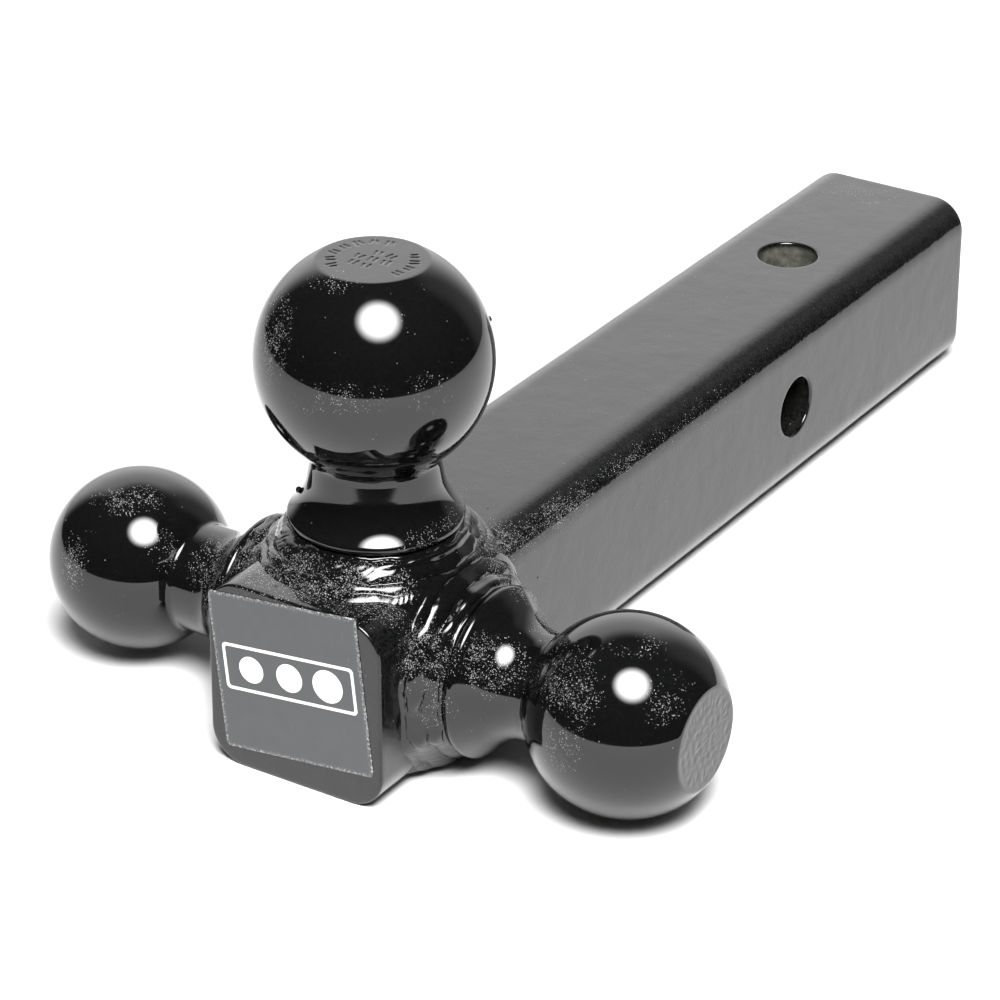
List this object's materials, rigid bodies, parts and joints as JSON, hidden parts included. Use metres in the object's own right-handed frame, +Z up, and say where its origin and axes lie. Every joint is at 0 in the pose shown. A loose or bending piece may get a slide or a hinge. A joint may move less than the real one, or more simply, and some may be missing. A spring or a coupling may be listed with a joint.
{
  "type": "trailer hitch ball mount",
  "caption": "Rigid receiver hitch mount: a solid square shank with cross-drilled pin holes and forged tow balls of different sizes welded round its front end.",
  "frame": {"origin": "centre of the side (horizontal) hitch pin hole, on the shank's axis", "axes": "+Y along the shank towards the towing vehicle, -Y is the end with the balls; +X is the right-hand side, where the medium ball is; +Z up, where the large ball is"},
  "size_m": [0.1882, 0.3051, 0.1273],
  "materials": {
    "shank_paint": "gloss black powder coat on solid steel bar, with orange peel and fine white dust",
    "ball_paint": "smooth high-gloss black coat on forged steel",
    "weld_paint": "gloss black coat over rippled weld metal, dusty in the hollows",
    "label_film": "satin dark grey film, slightly scuffed",
    "label_ink": "matte white screen ink"
  },
  "bodies": {
    "root": {"shank_bar": "shank_paint", "large_ball": "ball_paint", "large_root_weld": "weld_paint", "large_toe_cap_weld": "weld_paint", "large_collar_cap_weld": "weld_paint", "medium_ball": "ball_paint", "medium_root_weld": "weld_paint", "medium_toe_cap_weld": "weld_paint", "medium_collar_cap_weld": "weld_paint", "small_ball": "ball_paint", "small_root_weld": "weld_paint", "small_toe_cap_weld": "weld_paint", "small_collar_cap_weld": "weld_paint", "label_film": "label_film", "label_ink": "label_ink"}
  },
  "joints": []
}
